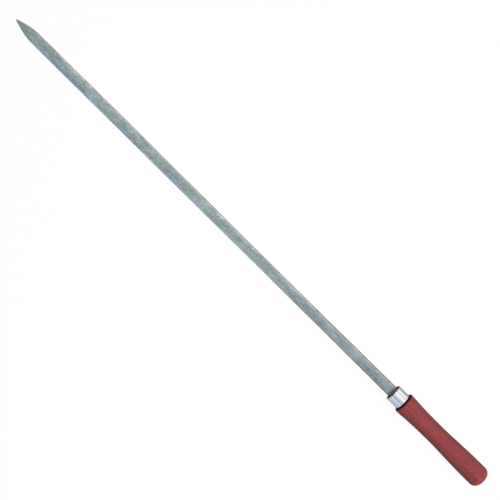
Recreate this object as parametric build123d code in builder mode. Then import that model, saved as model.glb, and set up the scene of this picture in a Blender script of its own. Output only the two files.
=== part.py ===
from build123d import *
import os

# Flat barbecue skewer: a pointed flat steel strip, a metal ferrule and a turned wooden handle.
# Millimetres. +X runs along the axis towards the point, +Z is square to the strip's flat face.
# The origin is on the axis, where the ferrule's rear edge meets the handle's shoulder.

# ---------------------------------------------------------------- driving dimensions
OVERALL_LENGTH = 750.0       # point to butt

# Steel strip
STRIP_THICKNESS = 3.0
STRIP_WIDTH = 13.8           # at its widest, near the ferrule
STRIP_EDGE_R = 1.2           # rounding of the strip's four long edges
NOSE_R = 0.65                # the point is slightly blunt
POINT_THICKNESS = 1.2        # the strip is forged thinner at its point
POINT_TAPER = 34.0           # length over which it thins

# Tang, hidden inside the handle
TANG_LENGTH = 77.0
TANG_THICKNESS = 2.6
TANG_RUN_IN = 3.6            # the strip starts to thin this far ahead of the ferrule
TANG_WIDTH = 8.4
TANG_END_WIDTH = 4.6

# Ferrule
FERRULE_D = 20.2
FERRULE_WALL = 0.8
FERRULE_LENGTH = 15.9
FERRULE_RIM_R = 0.3

# Handle
HANDLE_LENGTH = 127.7        # shoulder to butt, without the spigot
SPIGOT_RECESS = 1.0          # the spigot ends this far behind the ferrule's front rim
SHOULDER_D = 25.9
SHOULDER_R = 2.0
WAIST_D = 22.7
BUTT_D = 25.8
DOME_LENGTH = 8.0            # the butt's rounding, along the axis
DOME_DEPTH = 9.2             # and across it

# ---------------------------------------------------------------- derived
TIP_X = OVERALL_LENGTH - HANDLE_LENGTH
SPIGOT_D = FERRULE_D - 2 * FERRULE_WALL
SPIGOT_FACE_X = FERRULE_LENGTH - SPIGOT_RECESS
TANG_END_X = SPIGOT_FACE_X - TANG_LENGTH
HALF_T = STRIP_THICKNESS / 2

# Half-widths of the strip, as (distance back from the point, half-width). The sides of
# the point are nearly straight and then round off into the strip.
POINT_SIDE = [
    (5.7, 2.45),
    (11.4, 4.0),
    (17.2, 5.4),
    (21.7, 6.15),
    (26.5, 6.58),
    (33.0, 6.74),
]
# The strip is flattened from round wire, so its width wanders a little.
STRIP_SIDE = [
    (70.0, 6.76),
    (140.0, 6.74),
    (200.0, 6.72),
    (240.0, 6.60),
    (290.0, 6.54),
    (335.0, 6.48),
    (370.0, 6.32),
    (405.0, 6.28),
    (440.0, 6.38),
    (505.0, 6.42),
    (545.0, 6.60),
    (580.0, 6.78),
    (TIP_X - SPIGOT_FACE_X, 6.88),
]
SIDE = [(TIP_X - back, half) for back, half in POINT_SIDE + STRIP_SIDE]

# ---------------------------------------------------------------- blade: strip and tang in one
with BuildPart() as tang:
    with BuildSketch(Plane.XY.offset(-TANG_THICKNESS / 2)) as tang_outline:
        with BuildLine():
            Polyline(
                (SPIGOT_FACE_X, -TANG_WIDTH / 2),
                (SPIGOT_FACE_X, TANG_WIDTH / 2),
                (TANG_END_X + TANG_END_WIDTH * 0.6, TANG_END_WIDTH / 2),
                (TANG_END_X, TANG_END_WIDTH * 0.18),
                (TANG_END_X, -TANG_END_WIDTH * 0.18),
                (TANG_END_X + TANG_END_WIDTH * 0.6, -TANG_END_WIDTH / 2),
                close=True,
            )
        make_face()
    extrude(amount=TANG_THICKNESS)

with BuildPart() as blade:
    # The strip's outline, seen square to its flat face
    with BuildSketch(Plane.XY.offset(-HALF_T)) as strip_outline:
        nose = (TIP_X - NOSE_R * 0.7, NOSE_R)
        with BuildLine():
            ThreePointArc((nose[0], -nose[1]), (TIP_X, 0), nose)
            Spline(nose, *SIDE)
            Line(SIDE[-1], (SIDE[-1][0], -SIDE[-1][1]))
            Spline(*[(x, -y) for x, y in reversed(SIDE)], (nose[0], -nose[1]))
        make_face()
    extrude(amount=STRIP_THICKNESS)
    # End view: rounded long edges, from the rolled wire
    with BuildSketch(Plane.YZ.offset(SPIGOT_FACE_X)) as cross_section:
        RectangleRounded(STRIP_WIDTH, STRIP_THICKNESS, STRIP_EDGE_R)
    extrude(amount=TIP_X, mode=Mode.INTERSECT)
    # Side view: thinner at the point, and thinning into the tang just ahead of the ferrule
    with BuildSketch(Plane.XZ) as side_view:
        run_in_x = FERRULE_LENGTH + TANG_RUN_IN
        with BuildLine():
            Polyline(
                (SPIGOT_FACE_X, -TANG_THICKNESS / 2),
                (run_in_x, -HALF_T),
                (TIP_X - POINT_TAPER, -HALF_T),
                (TIP_X, -POINT_THICKNESS / 2),
                (TIP_X, POINT_THICKNESS / 2),
                (TIP_X - POINT_TAPER, HALF_T),
                (run_in_x, HALF_T),
                (SPIGOT_FACE_X, TANG_THICKNESS / 2),
                close=True,
            )
        make_face()
    extrude(amount=SHOULDER_D, both=True, mode=Mode.INTERSECT)
    # The tang carries on from the strip's shoulders into the handle
    add(tang.part)
blade.part.label = "blade"

# ---------------------------------------------------------------- ferrule: thin tube with rounded rims
with BuildPart() as ferrule:
    with BuildSketch(Plane.YZ):
        Circle(FERRULE_D / 2)
        Circle(SPIGOT_D / 2, mode=Mode.SUBTRACT)
    extrude(amount=FERRULE_LENGTH)
    rims = ferrule.edges().filter_by(GeomType.CIRCLE)
    fillet(rims.group_by(Axis.X)[-1], FERRULE_RIM_R)
    fillet(rims.group_by(Axis.X)[0].sort_by(SortBy.RADIUS)[-1], FERRULE_RIM_R)
ferrule.part.label = "ferrule"

# ---------------------------------------------------------------- handle: turned wood, with the spigot and the tang's hole
GRIP = [
    (-7.0, 12.76),
    (-13.8, 12.30),
    (-20.0, 11.95),
    (-28.0, 11.62),
    (-38.0, 11.42),
    (-49.3, WAIST_D / 2),
    (-60.0, 11.44),
    (-68.0, 11.66),
    (-77.0, 12.02),
    (-87.0, 12.38),
    (-97.0, 12.68),
    (-107.0, 12.85),
]
with BuildPart() as handle:
    with BuildSketch(Plane.XZ) as half_profile:
        butt_x = -HANDLE_LENGTH
        dome_x = butt_x + DOME_LENGTH
        shoulder = (-SHOULDER_R, SHOULDER_D / 2)
        with BuildLine():
            Polyline(
                (butt_x, 0),
                (SPIGOT_FACE_X, 0),
                (SPIGOT_FACE_X, SPIGOT_D / 2),
                (0, SPIGOT_D / 2),
                (0, SHOULDER_D / 2 - SHOULDER_R),
            )
            RadiusArc((0, SHOULDER_D / 2 - SHOULDER_R), shoulder, -SHOULDER_R)
            Spline(
                shoulder,
                *GRIP,
                (dome_x, BUTT_D / 2),
                tangents=[(-1, -0.02), (-1, 0)],
            )
            EllipticalCenterArc(
                (dome_x, BUTT_D / 2 - DOME_DEPTH),
                DOME_LENGTH,
                DOME_DEPTH,
                start_angle=90,
                arc_size=90,
            )
            Line((butt_x, BUTT_D / 2 - DOME_DEPTH), (butt_x, 0))
        make_face()
    revolve(axis=Axis.X)
    # The tang was driven in, so its hole has its shape
    add(tang.part, mode=Mode.SUBTRACT)
handle.part.label = "handle"

# ---------------------------------------------------------------- write
os.makedirs("parts", exist_ok=True)
export_step(blade.part, "parts/blade.step")
export_step(ferrule.part, "parts/ferrule.step")
export_step(handle.part, "parts/handle.step")
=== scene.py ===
import math

import bmesh
import bpy
import numpy as np
from mathutils import Matrix, Vector


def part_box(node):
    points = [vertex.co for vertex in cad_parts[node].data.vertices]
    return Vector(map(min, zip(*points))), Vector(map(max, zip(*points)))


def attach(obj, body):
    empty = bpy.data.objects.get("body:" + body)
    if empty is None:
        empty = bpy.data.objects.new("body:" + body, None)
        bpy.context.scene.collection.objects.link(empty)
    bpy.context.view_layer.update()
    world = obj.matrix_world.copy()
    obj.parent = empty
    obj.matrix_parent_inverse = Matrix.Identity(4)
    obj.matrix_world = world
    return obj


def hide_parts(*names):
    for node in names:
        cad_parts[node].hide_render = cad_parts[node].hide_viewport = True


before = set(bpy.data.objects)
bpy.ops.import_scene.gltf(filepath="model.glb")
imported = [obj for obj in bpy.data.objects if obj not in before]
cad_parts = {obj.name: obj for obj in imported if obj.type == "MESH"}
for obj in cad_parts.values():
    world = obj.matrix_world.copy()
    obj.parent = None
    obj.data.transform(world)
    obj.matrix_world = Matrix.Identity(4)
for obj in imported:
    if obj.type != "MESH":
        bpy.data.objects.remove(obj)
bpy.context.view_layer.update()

MM = 0.001
scene = bpy.context.scene

# ------------------------------------------------------------------ the frame's own sizes, in mm
blade_low, blade_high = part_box("blade")
ferrule_low, ferrule_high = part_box("ferrule")
handle_low, handle_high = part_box("handle")
TIP_X = blade_high.x / MM
TANG_END_X = blade_low.x / MM
HALF_T = blade_high.z / MM
FERRULE_R = ferrule_high.y / MM
FERRULE_LENGTH = ferrule_high.x / MM
SPIGOT_X = handle_high.x / MM
BUTT_X = handle_low.x / MM
SHOULDER_R = handle_high.z / MM
WALL = 0.8
TANG_HALF_W, TANG_END_HALF_W, TANG_HALF_T = 4.2, 2.3, 1.3


# ------------------------------------------------------------------ small tools
TABLES = {}


def table_of(seed, shape):
    if (seed, shape) not in TABLES:
        TABLES[seed, shape] = np.random.RandomState(seed).uniform(-1, 1, shape)
    return TABLES[seed, shape]


def smooth_noise(x, cell, seed):
    """One smooth random number for each x, between -1 and 1, changing over about cell."""
    table = table_of(seed, 4096)
    t = np.asarray(x, float) / cell + 2048
    i = np.floor(t).astype(int)
    f = t - i
    f = f * f * (3 - 2 * f)
    return table[i % 4096] * (1 - f) + table[(i + 1) % 4096] * f


def smooth_noise_2d(x, y, cell_x, cell_y, seed):
    table = table_of(seed, (512, 512))
    tx, ty = np.asarray(x, float) / cell_x + 256, np.asarray(y, float) / cell_y + 256
    ix, iy = np.floor(tx).astype(int), np.floor(ty).astype(int)
    fx, fy = tx - ix, ty - iy
    fx, fy = fx * fx * (3 - 2 * fx), fy * fy * (3 - 2 * fy)
    at = lambda a, b: table[a % 512, b % 512]
    low = at(ix, iy) * (1 - fx) + at(ix + 1, iy) * fx
    high = at(ix, iy + 1) * (1 - fx) + at(ix + 1, iy + 1) * fx
    return low * (1 - fy) + high * fy


def curve_through(points):
    """A smooth function through (x, value) points."""
    px = np.array([p[0] for p in points], float)
    py = np.array([p[1] for p in points], float)
    order = np.argsort(px)
    px, py = px[order], py[order]
    slope = np.gradient(py, px)
    steps = np.diff(py) / np.diff(px)
    for i in range(1, len(px) - 1):
        if steps[i - 1] * steps[i] <= 0:
            slope[i] = 0
        else:
            slope[i] = 2 * steps[i - 1] * steps[i] / (steps[i - 1] + steps[i])

    def value(x):
        x = np.clip(np.asarray(x, float), px[0], px[-1])
        i = np.clip(np.searchsorted(px, x, "right") - 1, 0, len(px) - 2)
        h = px[i + 1] - px[i]
        t = (x - px[i]) / h
        return (
            (2 * t**3 - 3 * t**2 + 1) * py[i]
            + (t**3 - 2 * t**2 + t) * h * slope[i]
            + (3 * t**2 - 2 * t**3) * py[i + 1]
            + (t**3 - t**2) * h * slope[i + 1]
        )

    return value


def mesh_of_rings(name, rings, start_point, end_point, attributes=None):
    """A closed mesh from rings of equally many points, in mm, with one point at each end."""
    n = len(rings[0])
    points = np.concatenate([np.array(rings, float).reshape(-1, 3), [start_point, end_point]])
    first, last = len(points) - 2, len(points) - 1
    faces = []
    for i in range(len(rings) - 1):
        a, b = i * n, (i + 1) * n
        for j in range(n):
            k = (j + 1) % n
            faces.append((a + j, b + j, b + k, a + k))
    for j in range(n):
        k = (j + 1) % n
        faces.append((first, j, k))
        e = (len(rings) - 1) * n
        faces.append((e + k, e + j, last))
    mesh = bpy.data.meshes.new(name)
    mesh.from_pydata([tuple(p) for p in points * MM], [], faces)
    for key, values in (attributes or {}).items():
        made = mesh.attributes.new(key, "FLOAT", "POINT")
        made.data.foreach_set("value", np.asarray(values, np.float32))
    bm = bmesh.new()
    bm.from_mesh(mesh)
    bmesh.ops.recalc_face_normals(bm, faces=bm.faces)
    bm.to_mesh(mesh)
    bm.free()
    mesh.validate()
    mesh.polygons.foreach_set("use_smooth", [True] * len(mesh.polygons))
    mesh.update()
    piece = bpy.data.objects.new(name, mesh)
    scene.collection.objects.link(piece)
    return piece


# ------------------------------------------------------------------ materials
class Nodes:
    """A short way to write a material's nodes."""

    def __init__(self, name):
        self.material = bpy.data.materials.new(name)
        self.material.use_nodes = True
        self.tree = self.material.node_tree
        self.tree.nodes.clear()
        self.out = self.add("ShaderNodeOutputMaterial")
        self.shader = self.add("ShaderNodeBsdfPrincipled")
        self.link(self.shader.outputs["BSDF"], self.out.inputs["Surface"])
        self.coordinates = self.add("ShaderNodeTexCoord").outputs["Object"]

    def add(self, kind, **settings):
        node = self.tree.nodes.new(kind)
        for key, value in settings.items():
            setattr(node, key, value)
        return node

    def link(self, a, b):
        self.tree.links.new(a, b)

    def put(self, socket, value):
        if hasattr(value, "links") or hasattr(value, "is_linked"):
            self.link(value, socket)
        else:
            socket.default_value = value

    def placed(self, scale, rotation=(0, 0, 0), source=None, location=(0, 0, 0)):
        """Coordinates in mm divided by scale, so that one pattern cell is scale mm."""
        m = self.add("ShaderNodeMapping")
        m.inputs["Rotation"].default_value = rotation
        m.inputs["Scale"].default_value = [1000.0 / s for s in scale]
        m.inputs["Location"].default_value = location
        self.link(source or self.coordinates, m.inputs["Vector"])
        return m.outputs["Vector"]

    def noise(self, scale, detail=3.0, rough=0.55, distortion=0.0, location=(0, 0, 0), source=None):
        n = self.add("ShaderNodeTexNoise")
        n.inputs["Scale"].default_value = 1.0
        n.inputs["Detail"].default_value = detail
        n.inputs["Roughness"].default_value = rough
        n.inputs["Distortion"].default_value = distortion
        self.link(self.placed(scale, location=location, source=source), n.inputs["Vector"])
        return n.outputs["Fac"]

    def math(self, operation, a, b=0.0, c=None, clamp=False):
        m = self.add("ShaderNodeMath", operation=operation, use_clamp=clamp)
        self.put(m.inputs[0], a)
        self.put(m.inputs[1], b)
        if c is not None:
            self.put(m.inputs[2], c)
        return m.outputs[0]

    def span(self, value, low, high, to_low=0.0, to_high=1.0, smooth=True):
        m = self.add("ShaderNodeMapRange", interpolation_type="SMOOTHSTEP" if smooth else "LINEAR")
        self.put(m.inputs["Value"], value)
        for key, v in (("From Min", low), ("From Max", high), ("To Min", to_low), ("To Max", to_high)):
            m.inputs[key].default_value = v
        return m.outputs["Result"]

    def ramp(self, value, *stops):
        r = self.add("ShaderNodeValToRGB")
        elements = r.color_ramp.elements
        while len(elements) > 1:
            elements.remove(elements[-1])
        elements[0].position, elements[0].color = stops[0][0], (*stops[0][1], 1)
        for place, colour in stops[1:]:
            e = elements.new(place)
            e.color = (*colour, 1)
        self.put(r.inputs["Fac"], value)
        return r.outputs["Color"]

    def mix(self, fac, a, b, blend="MIX"):
        m = self.add("ShaderNodeMix", data_type="RGBA", blend_type=blend)
        self.put(m.inputs["Factor"], fac)
        for socket, value in ((m.inputs[6], a), (m.inputs[7], b)):
            if isinstance(value, tuple):
                socket.default_value = (*value, 1)
            else:
                self.link(value, socket)
        return m.outputs[2]

    def attribute(self, name):
        a = self.add("ShaderNodeAttribute", attribute_name=name)
        return a.outputs["Fac"]

    def bump(self, height, distance_mm, strength=1.0, under=None):
        b = self.add("ShaderNodeBump")
        b.inputs["Strength"].default_value = strength
        b.inputs["Distance"].default_value = distance_mm * MM
        self.put(b.inputs["Height"], height)
        if under is not None:
            self.link(under, b.inputs["Normal"])
        return b.outputs["Normal"]


def srgb(r, g, b):
    """The linear colour of 8-bit sRGB numbers."""
    return tuple(
        (c / 255 / 12.92) if c / 255 <= 0.04045 else ((c / 255 + 0.055) / 1.055) ** 2.4
        for c in (r, g, b)
    )


def zinc_material():
    m = Nodes("dull_zinc_coat")
    split = m.add("ShaderNodeSeparateXYZ")
    m.link(m.coordinates, split.inputs[0])
    along = split.outputs["X"]
    # Soft patches of zinc, drawn out along the strip, under a fine mottle
    broad = m.noise((34.0, 9.0, 9.0), 2.0, 0.5, 0.2, location=(3, 1, 0))
    patches = m.noise((9.0, 3.4, 3.4), 3.0, 0.6, 0.4)
    mottle = m.noise((2.4, 1.5, 1.5), 2.0, 0.6, 0.2, location=(6, 2, 7))
    fine = m.noise((0.9, 0.6, 0.6), 2.0, 0.6, location=(5, 0, 9))
    streaks = m.noise((30.0, 0.8, 0.8), 3.0, 0.6, location=(0, 7, 3))
    level = m.math("ADD", m.math("MULTIPLY", patches, 0.25), m.math("MULTIPLY", broad, 0.20))
    level = m.math("ADD", level, m.math("MULTIPLY", mottle, 0.29))
    level = m.math("ADD", level, m.math("MULTIPLY", streaks, 0.11))
    level = m.math("ADD", level, m.math("MULTIPLY", fine, 0.15))
    colour = m.ramp(
        level,
        (0.405, srgb(113, 127, 123)),
        (0.47, srgb(157, 170, 163)),
        (0.53, srgb(183, 195, 187)),
        (0.595, srgb(222, 231, 224)),
    )
    tint = m.noise((7.0, 2.6, 2.6), 3.0, 0.55, 0.3, location=(11, 4, 2))
    green = m.mix(m.span(tint, 0.50, 0.64, 0.0, 0.70), colour, srgb(164, 184, 168))
    cool = m.mix(m.span(tint, 0.50, 0.34, 0.0, 0.5), green, srgb(152, 166, 170))
    pink = m.noise((4.0, 2.0, 2.0), 2.0, 0.5, location=(21, 9, 4))
    body = m.mix(m.span(pink, 0.56, 0.70, 0.0, 0.6), cool, srgb(180, 172, 170))
    # The narrow sides and the long edges are painted darker, as painted shade, with a rub here and there
    edge = m.attribute("edge")
    # the painted shade is stronger towards the handle and the point
    shade_towards_ends = m.math("ADD", m.span(along, 0.090, 0.190, 1.0, 0.0), m.span(along, 0.530, 0.590, 0.0, 0.4))
    edge_shade = m.span(m.math("ADD", edge, m.math("MULTIPLY", shade_towards_ends, 0.10)), 0.60, 0.85)
    near = m.math("ADD", m.math("MULTIPLY", shade_towards_ends, 0.12), m.span(m.noise((40.0, 9.0, 9.0), 2.0, 0.5, location=(7, 7, 1)), 0.35, 0.65, 0.66, 0.84))
    body = m.mix(m.math("MULTIPLY", edge_shade, near), body, srgb(78, 86, 86))
    rub = m.math("MULTIPLY", m.span(edge, 0.25, 0.7), m.span(m.noise((13.0, 3.0, 3.0), 3.0, 0.6, location=(2, 2, 8)), 0.50, 0.66))
    rub = m.math("MULTIPLY", rub, m.span(edge, 0.9, 0.7))
    body = m.mix(m.math("MULTIPLY", rub, 0.25), body, srgb(200, 208, 208))
    # The point is darker and a little brown, and the strip darkens against the ferrule: grime and painted shade
    point = m.attribute("point")
    body = m.mix(m.math("MULTIPLY", point, 0.80), body, srgb(128, 132, 126))
    mouth_grime_and_shade = m.attribute("mouth_grime_and_shade")
    body = m.mix(m.math("MULTIPLY", mouth_grime_and_shade, 0.70), body, srgb(136, 118, 112))
    specks = m.add("ShaderNodeTexVoronoi")
    specks.inputs["Scale"].default_value = 1.0
    m.link(m.placed((2.6, 1.6, 1.6)), specks.inputs["Vector"])
    dot = m.span(specks.outputs["Distance"], 0.20, 0.06)
    dot = m.math("MULTIPLY", dot, m.span(m.noise((7.0, 4.0, 4.0), 2.0, 0.5, location=(8, 1, 1)), 0.48, 0.60))
    body = m.mix(m.math("MULTIPLY", dot, 0.40), body, srgb(104, 116, 118))
    m.link(body, m.shader.inputs["Base Color"])
    m.shader.inputs["Metallic"].default_value = 1.0
    rough = m.math("ADD", m.span(level, 0.40, 0.60, 0.36, 0.27), m.math("MULTIPLY", m.attribute("point"), 0.08))
    rough = m.math("ADD", rough, m.math("MULTIPLY", edge_shade, 0.12))
    rough = m.math("ADD", rough, m.math("MULTIPLY", mouth_grime_and_shade, 0.25))
    m.link(rough, m.shader.inputs["Roughness"])
    height = m.math("ADD", m.math("MULTIPLY", patches, 0.35), m.math("MULTIPLY", mottle, 0.65))
    normal = m.bump(height, 0.05, 0.9)
    normal = m.bump(m.math("ADD", m.math("MULTIPLY", fine, 0.6), m.math("MULTIPLY", streaks, 0.4)), 0.02, 0.8, normal)
    normal = m.bump(m.math("SUBTRACT", 1.0, dot), 0.02, 0.6, normal)
    m.link(normal, m.shader.inputs["Normal"])
    return m.material


def chrome_material():
    m = Nodes("bright_plating")
    smear = m.noise((9.0, 5.0, 5.0), 3.0, 0.6, 0.3)
    lines = m.noise((30.0, 0.35, 0.35), 2.0, 0.6, location=(1, 5, 2))
    colour = m.mix(m.span(smear, 0.40, 0.68), (0.71, 0.715, 0.72), (0.65, 0.66, 0.68))
    # Painted shade with some grime: the rims, most of all the rear one against the wood, are darkened towards dark red
    rim_grime_and_shade = m.attribute("edge")
    colour = m.mix(m.math("MULTIPLY", rim_grime_and_shade, 0.85), colour, (0.12, 0.08, 0.08))
    # The bore is painted dark: painted shade inside the tube
    colour = m.mix(m.attribute("bore_shade"), colour, (0.13, 0.12, 0.125))
    m.link(colour, m.shader.inputs["Base Color"])
    m.shader.inputs["Metallic"].default_value = 1.0
    rough = m.math("ADD", m.span(smear, 0.35, 0.7, 0.08, 0.15), m.math("MULTIPLY", lines, 0.04))
    rough = m.math("ADD", rough, m.math("MULTIPLY", m.attribute("bore_shade"), 0.4))
    m.link(rough, m.shader.inputs["Roughness"])
    normal = m.bump(lines, 0.004, 0.5)
    normal = m.bump(smear, 0.02, 0.3, normal)
    m.link(normal, m.shader.inputs["Normal"])
    return m.material


def wood_material():
    m = Nodes("stained_wood")
    # Grain that runs along the handle, as in a stick turned from a straight board
    rings = m.noise((70.0, 3.2, 2.4), 2.0, 0.5, 0.4)
    grain = m.noise((16.0, 0.9, 0.9), 4.0, 0.62, 0.6, location=(2, 3, 1))
    fibre = m.noise((6.0, 0.28, 0.28), 3.0, 0.6, location=(9, 2, 5))
    cloud = m.noise((24.0, 14.0, 14.0), 2.0, 0.5, location=(4, 6, 6))
    level = m.math("ADD", m.math("MULTIPLY", rings, 0.38), m.math("MULTIPLY", grain, 0.40))
    level = m.math("ADD", level, m.math("MULTIPLY", cloud, 0.22))
    colour = m.ramp(
        level,
        (0.34, srgb(130, 58, 59)),
        (0.46, srgb(148, 70, 72)),
        (0.55, srgb(158, 76, 78)),
        (0.68, srgb(175, 88, 88)),
    )
    # The stain took unevenly: small redder and browner spots
    spots = m.noise((2.6, 1.3, 1.3), 2.0, 0.6, location=(3, 8, 2))
    colour = m.mix(m.span(spots, 0.48, 0.66, 0.0, 0.8), colour, srgb(183, 66, 75))
    spots = m.noise((2.2, 1.3, 1.3), 2.0, 0.6, location=(13, 5, 7))
    colour = m.mix(m.span(spots, 0.50, 0.68, 0.0, 0.7), colour, srgb(144, 87, 66))
    spots = m.noise((1.9, 1.1, 1.1), 2.0, 0.6, location=(6, 2, 17))
    colour = m.mix(m.span(spots, 0.50, 0.68, 0.0, 0.55), colour, srgb(188, 98, 114))
    # Open pores: short dark dashes
    pores = m.span(fibre, 0.60, 0.70)
    pores = m.math("MULTIPLY", pores, m.span(m.noise((9.0, 0.8, 0.8), 2.0, 0.6, location=(0, 8, 8)), 0.42, 0.6))
    colour = m.mix(m.math("MULTIPLY", pores, 0.55), colour, srgb(84, 30, 33))
    # End grain takes more stain; on the shoulder beside the ferrule the darkening is also painted shade
    end = m.attribute("end")
    colour = m.mix(end, colour, srgb(44, 4, 6))
    # A warmer, lighter patch round the butt's rim, mostly on its -Y side: wear and painted highlight
    butt_wear_and_highlight = m.attribute("butt_wear_and_highlight")
    colour = m.mix(m.math("MULTIPLY", butt_wear_and_highlight, m.span(cloud, 0.35, 0.65, 0.05, 0.25)), colour, srgb(186, 96, 76))
    # A small brown stain on the shoulder
    far = m.add("ShaderNodeVectorMath", operation="DISTANCE")
    m.link(m.coordinates, far.inputs[0])
    far.inputs[1].default_value = (-0.0022, 0.0086, 0.0095)
    blot = m.math("ADD", far.outputs["Value"], m.math("MULTIPLY", m.noise((3.0, 2.0, 2.0), 2.0, 0.5, location=(1, 1, 4)), 0.003))
    colour = m.mix(m.span(blot, 0.0055, 0.0025, 0.0, 0.65), colour, srgb(152, 84, 44))
    m.link(colour, m.shader.inputs["Base Color"])
    m.shader.inputs["Specular IOR Level"].default_value = 0.14
    m.shader.inputs["Coat Weight"].default_value = 0.04
    m.shader.inputs["Coat Roughness"].default_value = 0.34
    rough = m.math("ADD", m.span(grain, 0.35, 0.65, 0.43, 0.33), m.math("MULTIPLY", pores, 0.2))
    rough = m.math("ADD", rough, m.math("MULTIPLY", end, 0.25))
    m.link(rough, m.shader.inputs["Roughness"])
    normal = m.bump(m.math("SUBTRACT", 1.0, pores), 0.06, 0.8)
    normal = m.bump(grain, 0.06, 0.5, normal)
    m.link(normal, m.shader.inputs["Normal"])
    return m.material


# ------------------------------------------------------------------ blade: strip, point and tang
POINT_SIDE = [(0.65, 0.75), (5.7, 2.45), (11.4, 4.0), (17.2, 5.4), (21.7, 6.15), (26.5, 6.58), (33.0, 6.74)]
STRIP_SIDE = [
    (70.0, 6.76), (140.0, 6.74), (200.0, 6.72), (240.0, 6.60), (290.0, 6.54), (335.0, 6.48), (370.0, 6.32),
    (405.0, 6.28), (440.0, 6.38), (505.0, 6.42), (545.0, 6.60), (580.0, 6.78), (TIP_X - SPIGOT_X, 6.88),
]
strip_half_width = curve_through(POINT_SIDE + STRIP_SIDE)


def blade_station(x):
    """(half-width, half-thickness, edge radius, crown) of the strip or tang at x."""
    back = TIP_X - x
    if x < SPIGOT_X:
        run = (x - TANG_END_X) / (SPIGOT_X - TANG_END_X)
        lead = (x - TANG_END_X) / (TANG_END_HALF_W * 1.2)
        w = TANG_END_HALF_W + (TANG_HALF_W - TANG_END_HALF_W) * run
        if lead < 1:
            w = w * (0.36 + 0.64 * lead)
        return w, TANG_HALF_T, 0.15, 0.0
    w = float(strip_half_width(back))
    if back < 0.65:
        w = min(w, 0.75) * math.sqrt(max(1e-4, 1 - ((0.65 - back) / 0.65) ** 2))
    h = HALF_T
    if back < 34.0:
        h = 0.6 + (HALF_T - 0.6) * (back / 34.0)
    run_in = FERRULE_LENGTH + 3.6
    if x < run_in:
        h = TANG_HALF_T + (HALF_T - TANG_HALF_T) * (x - SPIGOT_X) / (run_in - SPIGOT_X)
    ground = max(0.0, 1 - back / 34.0)
    radius = min(1.25 * (1 - 0.55 * ground), w * 0.62, h * 0.9)
    return w, h, radius, 0.28 * (1 - ground)


def section(w, h, radius, crown, per_side=16, per_corner=7):
    """Points round a flat section with rounded corners, from the +Y edge up and over, and how near each is to an edge,
    weighted more on the +Y side for the painted edge shade.
    """
    points, edge = [], []
    flat_y, flat_z = w - radius, h - radius
    # each corner's arc, then the flat to the next corner
    for corner, (sy, sz, start) in enumerate(((1, 1, 0), (-1, 1, 90), (-1, -1, 180), (1, -1, 270))):
        for i in range(per_corner):
            a = math.radians(start + 90 * i / (per_corner - 1))
            points.append((sy * flat_y + radius * math.cos(a), sz * flat_z + radius * math.sin(a)))
            # the +Y corners get higher values, so they carry more of the painted edge shade
            low = 0.62 if sy > 0 else 0.50
            edge.append(low + (1 - low) * math.cos(a) ** 2)
        if corner in (0, 2):
            for i in range(1, per_side):
                t = i / per_side
                y = sy * flat_y * (1 - 2 * t)
                points.append((y, sz * h))
                edge.append((0.62 if y > 0 else 0.50) * max(0.0, (abs(y) / flat_y - 0.72) / 0.28) if flat_y > 0 else 0)
        else:
            points.append((sy * w, 0.0))
            edge.append(1.0)
    lowered = []
    for y, z in points:
        # rolled a little fuller on the +Y half
        power, share = (2.8, 1.2) if y < 0 else (4.0, 0.7)
        lowered.append((y, z * (1 - share * crown * min(1.0, abs(y) / w) ** power)))
    return lowered, edge


def make_blade():
    xs = [TANG_END_X + 0.02]
    xs += list(np.linspace(TANG_END_X + 0.4, SPIGOT_X - 0.02, 60))
    xs += [SPIGOT_X + 0.001]
    xs += list(np.arange(SPIGOT_X + 0.4, FERRULE_LENGTH + 6, 0.4))
    xs += list(np.arange(FERRULE_LENGTH + 6.8, TIP_X - 40, 0.9))
    xs += list(np.arange(TIP_X - 39.6, TIP_X - 1.0, 0.5))
    xs += [TIP_X - b for b in (0.9, 0.7, 0.55, 0.42, 0.3, 0.2, 0.12, 0.05)]
    rings, edge, point, mouth_grime_and_shade = [], [], [], []
    for x in xs:
        w, h, radius, crown = blade_station(x)
        ring, near = section(w, h, radius, crown)
        drift = 0.0
        if x > FERRULE_LENGTH + 2:
            fade = min(1.0, (x - FERRULE_LENGTH - 2) / 20) * min(1.0, (TIP_X - x) / 20)
            drift = 0.10 * float(smooth_noise(x, 55.0, 5)) * fade
        out = []
        for (y, z), e in zip(ring, near, strict=True):
            dy = dz = 0.0
            if x > SPIGOT_X + 0.2 and TIP_X - x > 1.2:
                calm = min(1.0, (TIP_X - x) / 12)
                # the rolled face isn't quite flat, and the edges wander a little
                dz = calm * math.copysign(1.0, z or 1.0) * (
                    0.022 * float(smooth_noise_2d(x, y, 9.0, 4.0, 31 if z > 0 else 32))
                    + 0.012 * float(smooth_noise_2d(x, y, 2.6, 1.6, 33 if z > 0 else 34))
                    + 0.010 * math.sin(1.65 * y) * (1 if z > 0 else -1)
                    - 0.044
                )
                # the +Y edge was rolled a little fuller in the middle of the length
                full = min(1.0, max(0.0, (x - 60) / 60)) * min(1.0, max(0.0, (TIP_X - x) / 60))
                dy = 0.24 * full * max(0.0, y / w) ** 2
                if abs(y) > w * 0.6:
                    dy += calm * math.copysign(1.0, y) * 0.05 * float(smooth_noise(x + (900 if y > 0 else 0), 4.5, 8))
            out.append((x, y + dy + drift, z + dz))
        rings.append(out)
        back = TIP_X - x
        edge += near
        mouth = max(0.0, 1 - max(0.0, x - FERRULE_LENGTH) / 12.0)
        point += [0.55 * max(0.0, 1 - back / 70.0)] * len(out)
        # grime and painted shade on the strip near the ferrule's mouth
        mouth_grime_and_shade += [0.85 * mouth**1.6] * len(out)
    edge += [0.0, 1.0]
    point += [0.0, 0.55]
    mouth_grime_and_shade += [0.0, 0.0]
    return mesh_of_rings(
        "blade_strip", rings, (TANG_END_X, 0, 0), (TIP_X - 0.004, 0, 0),
        {"edge": edge, "point": point, "mouth_grime_and_shade": mouth_grime_and_shade},
    )


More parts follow.
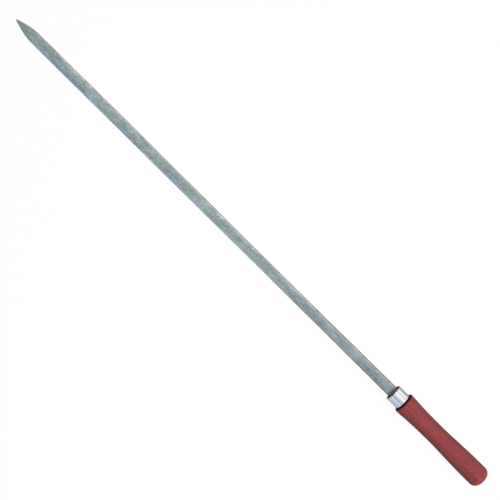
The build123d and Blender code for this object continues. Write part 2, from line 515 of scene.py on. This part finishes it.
# ------------------------------------------------------------------ ferrule: thin drawn tube
def make_ferrule(n=160):
    outer, inner = FERRULE_R, FERRULE_R - WALL
    # the edge column sets painted shade with grime on the rims; the last column sets painted shade inside the bore
    profile = []  # (x, r, edge, inside)
    rim = 0.34
    for a in np.linspace(0, 90, 7):           # rear outer rim
        c, s = math.cos(math.radians(a)), math.sin(math.radians(a))
        profile.append((rim - rim * c, outer - rim + rim * s, 1.0, 0.0))
    for x in np.linspace(rim + 0.1, FERRULE_LENGTH - rim - 0.2, 28):
        profile.append((x, outer, max(0.0, 1 - (x - rim) / 0.9), 0.0))
    for a in np.linspace(90, 0, 7):           # front outer rim
        c, s = math.cos(math.radians(a)), math.sin(math.radians(a))
        profile.append((FERRULE_LENGTH - rim + rim * c, outer - rim + rim * s, 0.42, 0.0))
    for a in np.linspace(0, 90, 5):           # front inner rim
        c, s = math.cos(math.radians(a)), math.sin(math.radians(a))
        profile.append((FERRULE_LENGTH - 0.2 + 0.2 * c, inner + 0.2 - 0.2 * s, 0.5, 0.6))
    for x in np.linspace(FERRULE_LENGTH - 0.45, 0.02, 10):
        profile.append((x, inner, 0.0, 1.0))
    angles = np.arange(n) * 2 * math.pi / n
    points, edge, bore_shade = [], [], []
    for x, r, e, inn in profile:
        # the tube is a hair out of round, as a pressed-on ferrule is
        rr = r + 0.012 * np.cos(2 * angles + 0.7) * (1 if r > inner + 0.3 else 0)
        rr = np.minimum(rr, outer + 0.012)
        points += [(x, v * math.cos(a), v * math.sin(a)) for a, v in zip(angles, rr, strict=True)]
        edge += [e] * n
        bore_shade += [inn] * n
    count = len(profile)
    faces = []
    for i in range(count):
        a, b = i * n, ((i + 1) % count) * n
        for j in range(n):
            k = (j + 1) % n
            faces.append((a + j, b + j, b + k, a + k))
    mesh = bpy.data.meshes.new("ferrule_tube")
    mesh.from_pydata([(x * MM, y * MM, z * MM) for x, y, z in points], [], faces)
    for key, values in (("edge", edge), ("bore_shade", bore_shade)):
        made = mesh.attributes.new(key, "FLOAT", "POINT")
        made.data.foreach_set("value", np.asarray(values, np.float32))
    bm = bmesh.new()
    bm.from_mesh(mesh)
    bmesh.ops.recalc_face_normals(bm, faces=bm.faces)
    bm.to_mesh(mesh)
    bm.free()
    mesh.validate()
    mesh.polygons.foreach_set("use_smooth", [True] * len(mesh.polygons))
    piece = bpy.data.objects.new("ferrule_tube", mesh)
    scene.collection.objects.link(piece)
    return piece


# ------------------------------------------------------------------ handle: turned wood
GRIP = [
    (-2.0, 12.95), (-7.0, 12.76), (-13.8, 12.30), (-20.0, 11.95), (-28.0, 11.62), (-38.0, 11.42), (-49.3, 11.35),
    (-60.0, 11.44), (-68.0, 11.66), (-77.0, 12.02), (-87.0, 12.38), (-97.0, 12.68), (-107.0, 12.85), (-119.7, 12.9),
]
grip_radius = curve_through(GRIP)
DOME_LENGTH, DOME_DEPTH, EDGE_R = 8.0, 9.2, 2.0


def make_handle(n=160):
    # the end grain column also carries painted shade at the shoulder; the last column carries the butt's wear and
    # painted highlight
    outer = []  # (x, radius, end grain, worn), butt to spigot
    butt_r = 12.9
    flat = butt_r - DOME_DEPTH
    for r in np.linspace(0.5, flat, 5):
        outer.append((BUTT_X + 0.02 * (r / flat) ** 2, r, 0.85, 0.0))
    for a in np.linspace(4, 84, 25):
        c, s = math.cos(math.radians(a)), math.sin(math.radians(a))
        butt_wear_and_highlight = max(0.0, math.sin(math.radians(a) * 2)) ** 2
        outer.append((BUTT_X + DOME_LENGTH * (1 - s), flat + DOME_DEPTH * c**0.92, min(0.85, s**4), butt_wear_and_highlight))
    outer = outer[:5] + list(reversed(outer[5:]))
    outer = [p for p in outer]
    body_x = np.linspace(BUTT_X + DOME_LENGTH + 0.5, -EDGE_R - 0.3, 230)
    for x in body_x:
        # the grip's last mm by the shoulder gets some of the end value: painted shade beside the ferrule
        outer.append((x, float(grip_radius(x)), 0.18 * max(0.0, 1 + (x + EDGE_R) / 1.6), 0.0))
    # the shoulder's round-over darkens fully towards its face: end grain and painted shade
    for a in np.linspace(90, 0, 12):
        c, s = math.cos(math.radians(a)), math.sin(math.radians(a))
        near = 1 - a / 90
        outer.append((-EDGE_R + EDGE_R * c, SHOULDER_R - EDGE_R + EDGE_R * s, min(1.0, 0.18 + near * 1.9), 0.0))
    for r in np.linspace(SHOULDER_R - EDGE_R - 0.1, FERRULE_R - WALL + 0.05, 5):
        outer.append((0.0, r, 1.0, 0.0))
    spigot_r = FERRULE_R - WALL - 0.02
    for x in np.linspace(0.1, SPIGOT_X - 0.3, 8):
        outer.append((x, spigot_r, 1.0, 0.0))
    outer.append((SPIGOT_X, spigot_r - 0.3, 1.0, 0.0))
    angles = np.arange(n) * 2 * math.pi / n
    cos, sin = np.cos(angles), np.sin(angles)
    rings, end, butt_wear_and_highlight = [], [], []
    for x, r, e, w in outer:
        radii = np.full(n, r)
        if -125 < x < -1.5 and r > 10:
            # fine lengthwise relief, where the soft grain has sunk, and the lathe's faint unevenness
            relief = 0.018 * smooth_noise_2d(np.full(n, x), angles * 12.0, 22.0, 0.75, 41)
            relief += 0.010 * smooth_noise_2d(np.full(n, x), angles * 12.0, 7.0, 0.4, 42)
            relief += 0.02 * float(smooth_noise(x, 6.0, 43))
            radii = radii + relief - 0.03
        rings.append(np.stack([np.full(n, x), radii * cos, radii * sin], 1))
        end += [e] * n
        # the patch is kept mostly to the -Y side, where the key light falls: painted highlight
        butt_wear_and_highlight += list(0.75 * w * np.clip(0.30 - 0.8 * cos, 0, 1))
    # The spigot's face, in to the tang's hole, and the hole's walls back to its end
    def hole(x, w, h):
        scale = 1.0 / np.maximum(np.abs(cos) / w, np.abs(sin) / h)
        return np.stack([np.full(n, x), scale * cos, scale * sin], 1)

    for t in (0.35, 0.7):
        rings.append(rings[-1] * (1 - t) + hole(SPIGOT_X, TANG_HALF_W + 0.05, TANG_HALF_T + 0.05) * t)
        end += [1.0] * n
        butt_wear_and_highlight += [0.0] * n
    for x in np.linspace(SPIGOT_X, TANG_END_X, 24):
        run = (x - TANG_END_X) / (SPIGOT_X - TANG_END_X)
        w = TANG_END_HALF_W + (TANG_HALF_W - TANG_END_HALF_W) * run
        rings.append(hole(x, w + 0.05, TANG_HALF_T + 0.05))
        end += [1.0] * n
        butt_wear_and_highlight += [0.0] * n
    end += [0.85, 1.0]
    butt_wear_and_highlight += [0.0, 0.0]
    return mesh_of_rings(
        "handle_wood", rings, (BUTT_X, 0, 0), (TANG_END_X, 0, 0), {"end": end, "butt_wear_and_highlight": butt_wear_and_highlight}
    )


blade = make_blade()
blade.data.materials.append(zinc_material())
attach(blade, "root")
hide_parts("blade")

ferrule = make_ferrule()
ferrule.data.materials.append(chrome_material())
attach(ferrule, "root")
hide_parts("ferrule")

handle = make_handle()
handle.data.materials.append(wood_material())
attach(handle, "root")
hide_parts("handle")

# ------------------------------------------------------------------ floor: the object lies on its shoulder and its point
FLOOR_SLOPE = (SHOULDER_R - 0.6) / (TIP_X + 4.0)
FLOOR_Z0 = -SHOULDER_R - 0.01


def floor_z(x_mm):
    return FLOOR_Z0 + (x_mm + 4.0) * FLOOR_SLOPE


size = 20000.0
floor_mesh = bpy.data.meshes.new("floor")
cx = 247.0
floor_mesh.from_pydata(
    [
        ((cx - size) * MM, -size * MM, floor_z(cx - size) * MM),
        ((cx + size) * MM, -size * MM, floor_z(cx + size) * MM),
        ((cx + size) * MM, size * MM, floor_z(cx + size) * MM),
        ((cx - size) * MM, size * MM, floor_z(cx - size) * MM),
    ],
    [],
    [(0, 1, 2, 3)],
)
floor = bpy.data.objects.new("floor", floor_mesh)
scene.collection.objects.link(floor)
paper = bpy.data.materials.new("white_paper")
paper.use_nodes = True
p = paper.node_tree.nodes["Principled BSDF"]
p.inputs["Base Color"].default_value = (0.12, 0.12, 0.12, 1)
p.inputs["Roughness"].default_value = 0.9
p.inputs["Specular IOR Level"].default_value = 0.1
p.inputs["Emission Color"].default_value = (1, 1, 1, 1)
p.inputs["Emission Strength"].default_value = 0.925
floor_mesh.materials.append(paper)
floor.visible_diffuse = False
floor.visible_glossy = False

# the same white paper curves up behind everything, so that low views have no horizon
bm = bmesh.new()
bmesh.ops.create_uvsphere(bm, u_segments=48, v_segments=24, radius=17.0, matrix=Matrix.Translation((cx * MM, 0, 0)))
cove_mesh = bpy.data.meshes.new("cove")
bm.to_mesh(cove_mesh)
bm.free()
cove = bpy.data.objects.new("cove", cove_mesh)
scene.collection.objects.link(cove)
white = bpy.data.materials.new("white_cove")
white.use_nodes = True
p = white.node_tree.nodes["Principled BSDF"]
p.inputs["Base Color"].default_value = (0, 0, 0, 1)
p.inputs["Specular IOR Level"].default_value = 0.0
p.inputs["Emission Color"].default_value = (1, 1, 1, 1)
p.inputs["Emission Strength"].default_value = 0.98
cove_mesh.materials.append(white)
cove.visible_diffuse = False
cove.visible_glossy = False
cove.visible_transmission = False
cove.visible_shadow = False

# ------------------------------------------------------------------ light
# The studio as the metal mirrors it, by the angle round the object's length, from the
# zenith towards the -Y side: (degrees, colour)
STUDIO = [
    (-180, (0.35, 0.35, 0.35)), (-122, (0.45, 0.45, 0.45)), (-105, (0.58, 0.57, 0.57)), (-94, (0.84, 0.84, 0.91)), (-84, (0.76, 0.79, 0.87)),
    (-67, (0.69, 0.75, 0.94)), (-52, (0.80, 0.89, 1.18)), (-42, (0.83, 0.94, 1.25)), (-32, (0.70, 0.80, 1.06)),
    (-21, (0.49, 0.565, 0.72)), (-13, (0.56, 0.62, 0.75)), (-6, (0.77, 0.81, 0.91)), (3, (0.93, 0.94, 1.01)),
    (12, (1.06, 1.05, 1.08)), (24, (1.24, 1.25, 1.23)), (37, (1.39, 1.40, 1.35)), (47, (1.26, 1.26, 1.23)),
    (62, (0.96, 0.95, 0.93)), (72, (1.08, 1.07, 1.06)), (84, (1.46, 1.45, 1.43)), (97, (1.12, 1.12, 1.11)),
    (110, (0.74, 0.74, 0.73)), (122, (0.58, 0.59, 0.58)), (150, (0.50, 0.50, 0.50)), (180, (0.35, 0.35, 0.35)),
]
SCALE = 1.6     # ramp colours are kept below 1

world = bpy.data.worlds.new("studio")
scene.world = world
world.use_nodes = True
wt = world.node_tree
wt.nodes.clear()
w_out = wt.nodes.new("ShaderNodeOutputWorld")
w_back = wt.nodes.new("ShaderNodeBackground")
wt.links.new(w_back.outputs[0], w_out.inputs["Surface"])
w_tc = wt.nodes.new("ShaderNodeTexCoord")
w_xyz = wt.nodes.new("ShaderNodeSeparateXYZ")
wt.links.new(w_tc.outputs["Generated"], w_xyz.inputs[0])


def w_math(op, a, b, clamp=False):
    m = wt.nodes.new("ShaderNodeMath")
    m.operation = op
    m.use_clamp = clamp
    for s, v in ((m.inputs[0], a), (m.inputs[1], b)):
        if isinstance(v, (int, float)):
            s.default_value = v
        else:
            wt.links.new(v, s)
    return m.outputs[0]


def w_span(value, low, high, to_low, to_high):
    m = wt.nodes.new("ShaderNodeMapRange")
    m.interpolation_type = "SMOOTHSTEP"
    wt.links.new(value, m.inputs["Value"])
    for key, v in (("From Min", low), ("From Max", high), ("To Min", to_low), ("To Max", to_high)):
        m.inputs[key].default_value = v
    return m.outputs["Result"]


turn = w_math("ARCTAN2", w_math("MULTIPLY", w_xyz.outputs["Y"], -1.0), w_xyz.outputs["Z"])
turn = w_math("ADD", w_math("DIVIDE", turn, 2 * math.pi), 0.5)
w_ramp = wt.nodes.new("ShaderNodeValToRGB")
w_ramp.color_ramp.interpolation = "EASE"
wt.links.new(turn, w_ramp.inputs["Fac"])
while len(w_ramp.color_ramp.elements) > 1:
    w_ramp.color_ramp.elements.remove(w_ramp.color_ramp.elements[-1])
for i, (degrees, colour) in enumerate(STUDIO):
    place = (degrees + 180) / 360
    e = w_ramp.color_ramp.elements[0] if i == 0 else w_ramp.color_ramp.elements.new(place)
    e.position = place
    e.color = (*[c / SCALE for c in colour], 1)
wt.links.new(w_ramp.outputs["Color"], w_back.inputs["Color"])
# dimmer towards the two ends of the room, and softer where it only lights and isn't mirrored
ends = w_math("MULTIPLY", w_span(w_xyz.outputs["X"], 0.5, 1.0, 1.0, 0.15), w_span(w_xyz.outputs["X"], -0.5, -1.0, 1.0, 0.8))
path = wt.nodes.new("ShaderNodeLightPath")
lit = w_math("SUBTRACT", 1.0, w_math("MULTIPLY", path.outputs["Is Diffuse Ray"], 0.96))
wt.links.new(w_math("MULTIPLY", w_math("MULTIPLY", ends, lit), SCALE), w_back.inputs["Strength"])


def softbox(name, place, aim, size_x, size_y, radiance, colour=(1, 1, 1)):
    light = bpy.data.lights.new(name, "AREA")
    light.shape = "RECTANGLE"
    light.size, light.size_y = size_x, size_y
    light.energy = radiance * math.pi * size_x * size_y
    light.color = colour
    lamp = bpy.data.objects.new(name, light)
    lamp.location = place
    lamp.rotation_mode = "QUATERNION"
    lamp.rotation_quaternion = (Vector(aim) - Vector(place)).to_track_quat("-Z", "Y")
    lamp.visible_glossy = False     # the mirrored softboxes are the studio's own
    scene.collection.objects.link(lamp)
    return lamp


softbox("key", (-1.70, -0.92, 2.33), (-0.06, 0, 0), 1.4, 1.4, 14.3, (1.0, 0.99, 0.97))

# ------------------------------------------------------------------ camera
VIEW_TILT = math.radians(12.0)      # the camera leans this far to the -Y side of upright
DISTANCE = 1.07
MM_PER_PIXEL = 1.1442               # at the object, along its axis
TARGET = Vector((0.2467, 0, 0))
ANGLE = math.radians(180 - 44.685)  # direction of +X in the picture, anticlockwise from right

back = Vector((0, -math.sin(VIEW_TILT), math.cos(VIEW_TILT)))
axis_x = Vector((1, 0, 0))
axis_y = back.cross(axis_x)
right = axis_x * math.cos(ANGLE) - axis_y * math.sin(ANGLE)
above = axis_x * math.sin(ANGLE) + axis_y * math.cos(ANGLE)
cam_data = bpy.data.cameras.new("camera")
cam_data.sensor_width = 36.0
cam_data.lens = DISTANCE * 1000 / MM_PER_PIXEL / 500 * 36
cam_data.dof.use_dof = False
camera = bpy.data.objects.new("camera", cam_data)
scene.collection.objects.link(camera)
offset = 0.53 * MM_PER_PIXEL * MM   # the axis passes this far below and left of the middle
place = TARGET - axis_y * offset + back * DISTANCE
camera.matrix_world = Matrix(
    (
        (right.x, above.x, back.x, place.x),
        (right.y, above.y, back.y, place.y),
        (right.z, above.z, back.z, place.z),
        (0, 0, 0, 1),
    )
)
scene.camera = camera
scene.view_settings.view_transform = "Standard"
scene.view_settings.look = "None"
scene.view_settings.exposure = 0.0
scene.view_settings.gamma = 1.0
